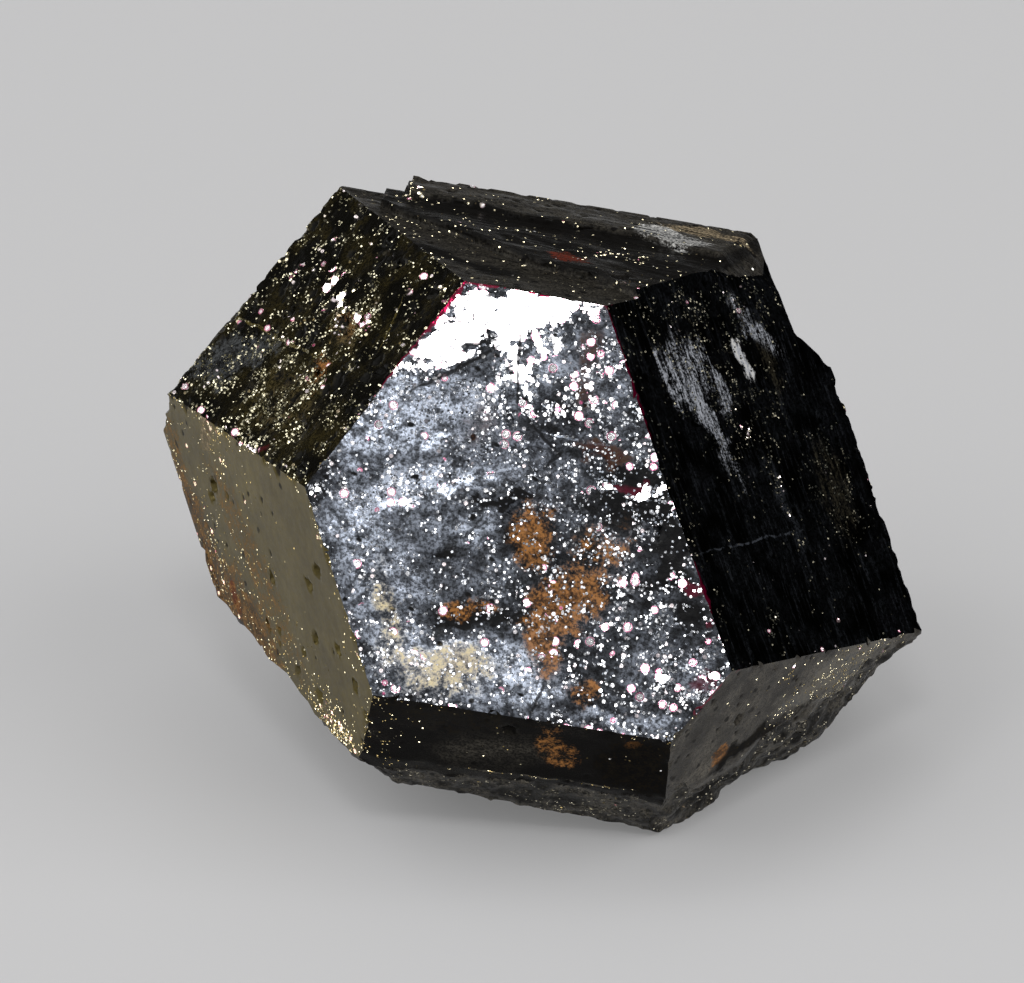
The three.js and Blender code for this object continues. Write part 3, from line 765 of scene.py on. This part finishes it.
looks = {
    "frontFace": wornLook(
        face="front", lustre=(0.04, 0.17), lustreSize=1.6, grain=(0.35, 1.5), tilt=0.05,
        mottle=(0.3, 1.55), reflect=0.03, roughness=(0.22, 0.36), glints=0.10,
        glintSwing=0.05, dust=0.12, cell=0.15, clump=1.8,
        glintColours=((0.10, 0.105, 0.12), blush, silver), glintSpread=0.2, dustCell=0.075,
        dustColours=((0.05, 0.054, 0.062), (0.34, 0.345, 0.36)), grainSize=0.085, pits=0.05,
        seamGlints=0.45,
        flood=[(-1.7, 4.15, 1.4, 0.75, 18, 0.95), (-2.6, 3.7, 1.2, 0.5, 48, 0.85),
               (-0.3, 4.6, 1.4, 0.5, 0, 0.95), (-3.6, 2.65, 1.1, 0.22, 45, 0.8),
               (-0.3, 3.7, 1.4, 0.7, 0, 0.28), (-2.4, 3.1, 1.4, 0.45, 38, 0.4),
               (-0.4, 3.2, 2.0, 0.8, 0, 0.33), (1.1, 3.4, 0.6, 1.2, 15, 0.2),
               (1.25, 2.35, 0.35, 0.25, 0, 0.5), (-3.2, -0.7, 1.3, 0.3, 36, 0.45),
               (2.15, 0.0, 0.24, 0.2, 0, 0.85), (2.75, 0.05, 0.24, 0.28, 0, 0.85),
               (3.3, 0.1, 0.15, 0.15, 0, 0.75), (4.45, -2.05, 0.4, 0.2, -20, 0.72),
               (5.05, -2.9, 0.16, 0.2, 0, 0.75), (5.35, -4.2, 0.2, 0.2, 0, 0.75),
               (-5.5, -1.0, 0.2, 0.16, 0, 0.7), (-4.25, 0.45, 0.15, 0.15, 0, 0.9),
               (4.5, -4.9, 0.9, 0.6, -20, 0.3), (3.6, -4.7, 0.5, 0.4, 0, 0.25),
               (-2.0, 1.1, 0.15, 0.12, 0, 0.9), (-1.0, 1.4, 0.15, 0.15, 0, 0.9)],
        glitter=[(-2.5, 2.8, 1.2, 0.5, 38, 0.25), (-0.6, 2.6, 1.9, 1.1, 0, 0.28),
                 (1.2, 2.4, 1.1, 1.6, 20, 0.05), (2.6, 1.0, 0.7, 1.6, 25, 0.06),
                 (4.3, -4.9, 1.2, 0.9, 0, 0.14), (2.8, -0.2, 1.2, 0.5, 0, 0.17),
                 (5.2, -3.9, 0.4, 1.2, 20, 0.2), (2.7, -2.4, 1.5, 2.6, 20, 0.04),
                 (0.5, -2.6, 0.6, 0.7, 0, 0.12), (1.6, -5.0, 1.4, 0.9, 0, 0.12),
                 (3.8, -1.2, 0.6, 0.7, 0, -0.15), (4.5, -3.3, 0.5, 0.7, 0, -0.15),
                 (0.4, 3.95, 0.3, 0.7, 10, -0.5), (1.3, -3.3, 1.0, 0.9, 30, 0.14),
                 (0.3, -1.7, 0.5, 0.8, 0, 0.13), (-0.9, 1.4, 1.7, 0.7, 20, 0.14),
                 (-3.2, -2.6, 1.6, 1.6, 0, -0.05), (-0.8, -2.0, 1.4, 1.2, 0, -0.06)],
        dusty=[(-1.8, -5.2, 1.8, 0.8, 0, 0.3), (-3.0, -0.7, 1.4, 0.4, 36, 0.3),
               (-4.6, -1.6, 0.9, 1.3, 0, 0.15), (2.6, -1.8, 2.4, 4.2, 20, 0.06),
               (-1.0, 2.0, 2.6, 1.2, 20, 0.15)],
        bright=[(-3.8, 0.9, 1.9, 1.2, 35, 0.42), (-3.3, -0.75, 1.35, 0.42, 36, 1.15),
                (-1.7, -0.3, 1.0, 0.22, 24, 0.7), (-4.6, -1.8, 0.9, 0.9, 30, 0.32),
                (-3.4, -3.2, 1.5, 1.7, 20, 0.22), (-0.8, -5.1, 2.6, 0.8, -5, 0.54),
                (-1.6, -1.5, 1.2, 0.9, 20, 0.14), (3.4, -5.9, 1.4, 0.25, 0, 0.4),
                (-2.2, 1.4, 1.5, 0.9, 30, 0.2), (-1.9, -5.2, 1.3, 0.5, 0, 0.25),
                (0.3, 3.2, 1.6, 1.0, 0, 0.12)],
        dull=[(-1.0, -0.8, 1.3, 0.14, 24, 0.3), (-1.8, -2.3, 1.0, 0.3, 15, 0.15),
              (-0.7, -3.7, 1.3, 0.4, 10, 0.15), (4.5, -3.3, 0.6, 0.8, 0, 0.1),
              (-0.2, -1.4, 0.7, 0.7, 0, 0.1), (2.8, -0.8, 1.6, 3.0, 20, 0.06)],
        seams=[(-2.9, 2.4, 1.6, 0.06, 38, 1.0), (-1.6, -0.2, 1.3, 0.05, 22, 0.9),
               (0.9, 1.2, 0.9, 0.04, -4, 0.7), (0.9, -5.6, 0.05, 0.8, -15, 0.5),
               (-2.6, -0.75, 1.4, 0.05, 33, 0.8)],
        cracks=[(-0.85, 3.0, 0.05, 1.6, 8, 0.9), (0.1, 1.1, 0.06, 0.7, 50, 0.9),
                (-2.5, 2.5, 1.9, 0.06, 36, 0.9), (0.5, 0.6, 0.35, 0.06, 50, 0.8),
                (-1.9, 3.3, 1.0, 0.05, 20, 0.8), (1.0, -5.6, 0.05, 0.8, -15, 0.8)],
        stains=[(rust, amber, [(0.25, -1.45, 0.55, 0.9, 12, 0.9), (1.3, -3.3, 1.15, 0.85, 30, 1.0),
                               (0.91, -4.4, 0.45, 0.6, 0, 0.7), (2.27, -5.4, 0.35, 0.35, 0, 0.8),
                               (2.0, -1.8, 1.1, 0.8, 40, 0.45), (-1.2, -3.65, 0.8, 0.24, 10, 0.7)]),
                (brick, rust, [(1.75, 0.95, 0.7, 0.25, 0, 0.9), (-1.6, 1.3, 0.8, 0.5, 30, 0.4),
                               (0.95, 3.5, 0.35, 0.8, 10, 0.6), (0.9, 2.4, 0.5, 0.35, 0, 0.6)]),
                (tan, honey, [(-1.8, -5.15, 1.4, 0.6, 5, 0.45), (-1.0, -5.3, 1.2, 0.5, 20, 0.28),
                              (-3.2, -4.0, 0.4, 1.2, 10, 0.4)])],
        # painted lens fringe beside the brightest highlights
        fringe=[(-2.4, 4.3, 2.2, 1.2, 52, 1.0), (-0.5, 4.95, 2.2, 0.5, 0, 1.0)],
        halo=[(2.6, 0.05, 0.6, 0.3, 0, 0.5), (4.55, -2.1, 0.45, 0.28, -20, 0.52),
              (5.1, -3.0, 0.2, 0.3, 0, 0.5), (5.2, -4.4, 0.4, 0.5, 0, 0.48)]),
    "topFace": wornLook(
        face="top", ground=(0.004, 0.0035, 0.003), tone=drab, lustre=(-0.01, 0.015), reflect=0.015,
        tilt=0.02, roughness=(0.2, 0.35), glints=0.005, glintSwing=0.008, dust=0.022, dustCell=0.065,
        glintColours=(bronze, straw, silver), edgeGlints=0.04, dustColours=(umber, straw),
        darkStreaks=0.35, spotScale=(1, 0.6, 1),
        bands=[(7.0, 7.3, 0.09), (7.52, 7.8, 0.12)], striae=(0, 0.16, 0.035),
        glitter=[(1.2, -1.4, 1.2, 0.5, 0, 0.12), (-4.8, 1.7, 0.5, 0.6, 0, 0.2),
                 (-0.3, -2.5, 0.8, 0.5, 0, 0.06)],
        dusty=[(-1.0, -1.0, 4.0, 1.4, 0, 0.04)],
        dull=[(-3.4, -3.4, 2.6, 0.4, -30, 0.15), (-2.3, 0.8, 2.8, 0.3, -8, 0.15),
              (2.4, -1.8, 1.6, 0.9, -20, 0.12), (-0.6, -1.2, 2.4, 0.3, -10, 0.1)],
        stains=[(umber, tan, [(3.4, 2.25, 1.1, 0.3, 0, 1.0), (2.6, 2.3, 0.8, 0.3, 0, 0.6)]),
                # painted sheen: these pale patches are flat colour standing for light reflected off
                # the face
                (slate, sheenWhite, [(1.9, 1.6, 0.6, 0.7, 0, 1.4), (2.6, 1.0, 0.7, 0.5, 0, 0.9)]),
                (brick, redBrown, [(-0.2, -2.5, 0.45, 0.6, 0, 1.3)])],
        cracks=[(-0.15, -2.5, 0.14, 0.16, 0, 1.0), (0.5, 0.4, 3.6, 0.05, 4, 0.9),
                (-1.0, -2.9, 3.0, 0.05, 2, 0.9)],
        fringe=[(-1.5, -5.6, 1.5, 0.6, 0, 0.9)]),
    "leftFace": wornLook(
        face="left", ground=(0.016, 0.012, 0.005), tone=olive, lustre=(0.33, 0.43), reflect=0.05,
        grain=(0.85, 1.1), mottle=(0.85, 1.1), spotScale=(1, 0.7, 1), tilt=0.015,
        roughness=(0.3, 0.4), bump=0.1, glints=0.004, cell=0.085, glintSwing=0.008,
        glintColours=(bronze, gold, straw), dust=0.03, clump=1.6,
        dustColours=(bronze, straw), pits=0.03, edgeGlints=0.12,
        dusty=[(-1.0, 1.6, 3.4, 1.8, 10, 0.06), (-3.5, -0.6, 1.8, 1.6, 40, 0.08),
               (1.0, -3.4, 5.0, 2.0, 0, -0.06)],
        glitter=[(-4.3, -1.9, 1.4, 1.0, 45, 0.28), (0.0, 3.1, 4.0, 0.8, 0, 0.08),
                 (3.5, 0.0, 0.25, 0.16, 80, 0.45), (4.3, 0.1, 1.4, 0.35, -60, 0.2)],
        dull=[(0.0, 3.2, 4.5, 1.0, 0, 0.24), (-1.3, 2.0, 1.9, 1.2, 0, 0.18),
              (1.5, 3.8, 4.5, 0.4, 0, 0.2), (-3.4, -2.6, 1.4, 1.0, 0, 0.08)],
        bright=[(3.6, -1.4, 1.8, 1.4, 0, 0.12), (4.6, 0.4, 1.0, 0.8, 0, 0.15)],
        stains=[(redBrown, (0.52, 0.10, 0.045), [(0.2, 2.45, 0.5, 0.3, 0, 1.4)]),
                (brown, (0.30, 0.16, 0.055), [(-0.9, 2.4, 2.2, 1.1, 0, 0.8),
                                              (-1.6, 1.2, 1.4, 0.8, 0, 0.6),
                                              (0.6, 0.2, 3.8, 0.9, 17, 0.35),
                                              (2.0, 3.6, 3.8, 0.8, 0, 0.6)]),
                (rust, tan, [(4.6, 0.4, 0.9, 0.45, -50, 0.65)])],
        cracks=[(4.6, 3.2, 0.2, 0.07, 0, 1), (3.1, 3.6, 0.2, 0.07, 10, 1),
                (1.6, 4.1, 0.25, 0.07, 0, 1), (3.2, 1.1, 0.12, 0.06, 0, 1),
                (4.9, 1.9, 0.12, 0.06, 0, 1), (2.3, 2.9, 0.15, 0.05, 20, 1),
                (-0.9, 3.2, 0.2, 0.06, 0, 1)]),
    "lowerRightFace": wornLook(
        face="lowerRight", ground=(0.009, 0.007, 0.005), tone=drab, lustre=(0.1, 0.24), reflect=0.04,
        tilt=0.02, roughness=(0.25, 0.4), glints=-0.01, glintSwing=0.01, edgeGlints=0.02, dust=0.01,
        grain=(0.4, 1.4), lustreSize=0.7,
        bright=[(1.6, -2.6, 1.6, 0.8, 0, 0.08), (3.5, -2.0, 1.5, 1.0, 0, 0.15),
                (-1.6, 0.6, 2.8, 1.1, -36, 0.3)],
        glitter=[(-2.4, 1.6, 2.0, 0.7, -36, 0.10), (-0.6, -2.0, 0.7, 0.3, 0, 0.12)],
        dusty=[(-1.6, 0.8, 3.0, 1.2, -36, 0.16)],
        dull=[(1.7, -1.3, 1.2, 0.25, -20, 0.5), (0.2, 1.3, 1.0, 0.3, -38, 0.5),
              (0.8, -0.5, 0.7, 0.2, -40, 0.4)],
        stains=[(rust, amber, [(2.12, -1.93, 0.3, 0.3, 0, 1.2)]),
                # painted sheen: the pale grey band is flat colour standing for light reflected off
                # this face
                (drab, sheenGrey, [(-1.6, 0.4, 2.6, 0.7, -36, 0.85), (0.6, 0.3, 0.8, 0.4, -36, 0.4)]),
                (black, umber, [(1.7, -1.3, 1.3, 0.3, -20, 1.3), (0.2, 1.3, 1.1, 0.4, -38, 1.2),
                                (0.3, -0.2, 1.3, 0.3, -36, 0.6)])],
        cracks=[(1.7, -1.35, 0.9, 0.12, -22, 1.0), (0.9, -0.6, 0.5, 0.1, -40, 1.0),
                (0.3, 1.2, 0.6, 0.12, -38, 1.0), (-0.4, 1.9, 0.5, 0.1, -50, 1.0)],
        fringe=[(1.3, -4.9, 0.9, 0.5, 0, 1.0)]),
    "upperLeftFace": wornLook(
        face="upperLeft", ground=(0.003, 0.0026, 0.0016), lustre=(-0.02, 0.05), tone=olive, tilt=0.03,
        reflect=0.02, glints=0.04, glintSwing=0.03, clump=2.0, glintColours=(bronze, straw, blush),
        dust=0.10, dustColours=((0.03, 0.027, 0.015), (0.30, 0.28, 0.20)), roughness=(0.2, 0.35),
        cell=0.14, dustCell=0.065, edgeGlints=0.12, spotScale=(1, 0.6, 1),
        glitter=[(0.9, 1.1, 0.45, 1.1, 0, 0.7), (0.5, -0.6, 0.6, 1.0, 0, 0.42),
                 (0.8, 3.6, 0.3, 0.4, 0, 0.35), (2.1, 3.2, 0.35, 0.35, 0, 0.4),
                 (1.5, 2.0, 0.3, 1.0, 0, 0.15), (-3.7, -0.4, 0.3, 1.5, 0, 0.3)],
        dusty=[(-2.0, 0.4, 1.8, 4.0, 0, 0.36), (1.2, 0.5, 1.4, 2.6, 0, 0.14)],
        bright=[(-2.2, 0.0, 1.6, 3.4, 0, 0.05), (0.8, -0.8, 1.2, 1.6, 0, 0.03)],
        seams=[(-0.9, 2.2, 0.05, 2.9, 3, 1.3), (1.0, -2.3, 0.9, 0.04, 28, 0.5)],
        stains=[(brown, amber, [(-1.1, -0.7, 0.45, 0.5, 0, 0.6), (0.4, -0.5, 0.5, 0.9, 0, 0.25)]),
                # painted sheen: the grey and the olive-brown hazes are flat colour standing for light
                # reflected off this dark face
                (black, (0.085, 0.09, 0.092), [(-2.0, 3.3, 0.75, 1.7, 30, 0.9)]),
                (umber, bronze, [(0.4, -0.8, 0.9, 1.0, 0, 0.25), (-2.2, -0.4, 1.1, 2.2, 0, 0.2)])],
        fringe=[(1.2, -4.3, 2.6, 0.6, 0, 0.9)], halo=[(-3.75, -1.0, 0.2, 0.5, 0, 0.46)]),
    "rightFace": wornLook(
        face="right", ground=(0.0006, 0.0006, 0.0005), lustre=(0.0, 0.004), reflect=0.0, tilt=0.01,
        roughness=(0.15, 0.28), bump=0.1, glints=-0.004, glintSwing=0.006, clump=2.0, cell=0.08,
        glintColours=(umber, drab, blush), dust=0.012, dustCell=0.065, edgeGlints=0.02,
        spotScale=(1, 0.7, 1),
        dustColours=((0.006, 0.006, 0.005), (0.06, 0.055, 0.04)), striae=(0, 0.14, 0.012), pits=0.05,
        dusty=[(-2.9, -1.0, 1.1, 4.5, 0, 0.16), (2.6, 0.3, 3.0, 0.5, 0, 0.12),
               (2.4, 2.8, 1.8, 1.4, 0, 0.2), (-0.8, -0.4, 2.4, 2.6, 0, 0.16),
               (5.4, -2.0, 1.0, 0.4, -25, 0.18), (2.0, -4.3, 4.5, 0.6, 0, 0.08)],
        glitter=[(-3.1, -1.0, 0.7, 4.0, 0, 0.03), (2.5, 0.3, 0.5, 0.14, 0, 0.4),
                 (0.11, -0.42, 0.3, 0.12, 0, 0.4), (1.66, 0.37, 0.2, 0.1, 0, 0.4),
                 (-1.0, -2.95, 0.12, 0.12, 0, 0.8), (5.4, -2.0, 0.6, 0.2, -30, 0.12)],
        bright=[(2.8, 0.2, 1.6, 0.3, 0, 0.02)],
        # painted sheen: the pale striated flake and the white blade are flat colour standing for
        # light reflected off this dark face
        stains=[(slate, sheenPearl, [(-0.5, -2.1, 1.2, 0.45, 24, 1.0), (-1.3, -3.0, 0.9, 0.13, 3, 0.8),
                                (-0.75, -0.9, 0.7, 0.24, 12, 0.7), (0.7, -1.6, 0.9, 0.35, 24, 0.4),
                                (-1.7, -1.9, 0.9, 1.0, 0, 0.35), (-2.3, 1.8, 1.1, 0.4, 38, 0.4)]),
                (sheenPearl, sheenWhite, [(-1.6, 0.75, 0.55, 0.2, 12, 1.2)]),
                (black, (0.03, 0.026, 0.016), [(2.4, 2.8, 1.6, 0.9, 0, 0.4),
                                               (-1.3, 1.8, 0.8, 0.4, 0, 0.6)])],
        seams=[(3.2, -1.8, 0.035, 2.6, 0, 0.07)],
        # a darker painted lens fringe beside the highlights on this face
        fringeColour=(0.06, 0.001, 0.010),
        fringe=[(-2.0, -4.65, 2.2, 0.6, 0, 1.0), (4.0, -4.95, 1.0, 0.5, 0, 1.0)]),
    "footFace": wornLook(
        face="foot", ground=(0.004, 0.0035, 0.003), tone=drab, lustre=(0.0, 0.04), reflect=0.012,
        tilt=0.02, glints=-0.01, glintSwing=0.012, edgeGlints=0.02, dust=0.006, cell=0.09,
        roughness=(0.2, 0.35), pits=0.05,
        bright=[(0.0, -1.6, 1.8, 0.6, 8, 0.10)], dusty=[(3.4, -1.8, 1.6, 1.8, 0, 0.08)],
        seams=[(-1.3, -0.8, 3.2, 0.04, 2.8, 0.35)],
        stains=[(brown, amber, [(-1.65, -2.1, 0.5, 0.9, 20, 0.5), (-3.5, -2.9, 0.35, 0.2, 0, 0.6)]),
                (black, umber, [(-3.9, -2.0, 1.3, 1.2, 0, 1.0), (2.0, -2.9, 3.0, 0.6, 0, 0.6)])],
        dull=[(-3.8, -2.0, 1.6, 1.4, 0, 0.14)]),
    "plainFace": wornLook(
        ground=(0.014, 0.012, 0.008), tone=olive, lustre=(0.0, 0.2), reflect=0.08, tilt=0.04,
        glintDirection=None, glints=0.02, glintSwing=0.03, glintColours=(bronze, straw, silver)),
    "glitterFace": wornLook(
        ground=(0.007, 0.006, 0.004), lustre=(0.0, 0.06), tone=olive, tilt=0.05, reflect=0.08,
        glintDirection=None, glints=0.04, glintSwing=0.05, roughness=(0.2, 0.35)),
    "brokenFace": wornLook(
        ground=(0.006, 0.005, 0.0035), tone=drab, lustre=(-0.04, 0.22), reflect=0.05, tilt=0.25,
        lustreSize=0.5, grain=(0.0, 1.9), striae=(0, 0.16, 0.10), pits=0.4, pitSize=0.28,
        glintDirection=None, glints=0.0, glintSwing=0.03, glintColours=(bronze, gold, straw),
        dust=0.14, dustColours=((0.05, 0.045, 0.035), (0.34, 0.31, 0.24)), roughness=(0.3, 0.5)),
}

buildCrystal()

stage = {
    "floorSize": 4.0,
    "floorColour": colour(0.43, 0.428, 0.433),
    "floorGlow": 0.16,            # the paper is lit a little from below, so shadows stay light
    "worldLow": 0.16,             # surroundings: strength at the horizon, above it and overhead
    "worldHigh": 0.03,
    "worldTop": 0.24,
    # heading and rise in degrees, distance, width and height in metres, and watts
    "lamps": {
        "core": (-93.6, 52, 0.45, 0.10, 0.09, 0.3),       # small and hot: the glints catch it
        "panel": (-94, 36, 0.46, 0.34, 0.24, 0.16),       # fills the front face
        "rearTop": (110, 60, 0.8, 0.9, 0.7, 1.8),
        "leftBox": (-160, 38, 0.8, 0.9, 0.7, 3.2),
        "rightBox": (-24, 38, 0.8, 0.9, 0.7, 2.9),
    },
    # rise in degrees, distance in metres, lens in millimetres, and how far the view's middle
    # lies from the crystal's, in millimetres
    "view": {"rise": 25.0, "distance": 0.3, "lens": 395.508, "aside": 0.7467, "below": 0.36},
}


def makeFloor():
    note("floor")
    shape = bmesh.new()
    bmesh.ops.create_grid(shape, x_segments=8, y_segments=8, size=stage["floorSize"] / 2)
    mesh = bpy.data.meshes.new("floor")
    shape.to_mesh(mesh)
    shape.free()
    floor = bpy.data.objects.new("floor", mesh)
    bpy.context.collection.objects.link(floor)
    material = bpy.data.materials.new("floorPaper")
    paint = Paint(material)
    shader = paint.node("ShaderNodeBsdfPrincipled", {}, {
        "Base Color": stage["floorColour"], "Roughness": 0.9, "Specular IOR Level": 0.2,
        "Emission Color": colour(1, 1, 1), "Emission Strength": stage["floorGlow"]})
    paint.node("ShaderNodeOutputMaterial", {}, {"Surface": shader})
    mesh.materials.append(material)


def makeLights():
    note("lights")
    for name, (heading, rise, distance, width, height, power) in stage["lamps"].items():
        light = bpy.data.lights.new(name, "AREA")
        light.shape = "RECTANGLE"
        light.size, light.size_y = width, height
        light.energy = power
        lamp = bpy.data.objects.new(name, light)
        away = headed(heading, rise)
        lamp.location = Vector(crystal["centre"]) * mm + away * distance
        lamp.rotation_euler = away.to_track_quat("Z", "Y").to_euler()
        lamp.visible_camera = False
        bpy.context.collection.objects.link(lamp)


def makeWorld():
    note("world")
    world = bpy.data.worlds.new("studio")
    bpy.context.scene.world = world
    paint = Paint(world)
    where = paint.node("ShaderNodeTexCoord", {}, {}, "Generated")
    height = paint.parts(where)[2]
    strength = height.rise(0.07, 0.13, stage["worldLow"], stage["worldHigh"])
    strength = strength + height.rise(0.55, 0.75) * stage["worldTop"]
    sky = paint.node("ShaderNodeBackground", {}, {"Color": colour(1, 1, 1), "Strength": strength})
    paint.node("ShaderNodeOutputWorld", {}, {"Surface": sky})
    bpy.context.scene.view_settings.view_transform = "Standard"


def makeCamera():
    note("camera")
    view = stage["view"]
    data = bpy.data.cameras.new("camera")
    data.lens = view["lens"]
    data.clip_start = 0.01
    camera = bpy.data.objects.new("camera", data)
    back = headed(-90, view["rise"])
    camera.rotation_euler = back.to_track_quat("Z", "Y").to_euler()
    bpy.context.collection.objects.link(camera)
    right = Vector((1, 0, 0))
    up = back.cross(right)
    middle = Vector(crystal["centre"]) * mm
    camera.location = (middle + back * view["distance"] - right * view["aside"] * mm
                       + up * view["below"] * mm)
    bpy.context.scene.camera = camera


makeFloor()
makeLights()
makeWorld()
makeCamera()
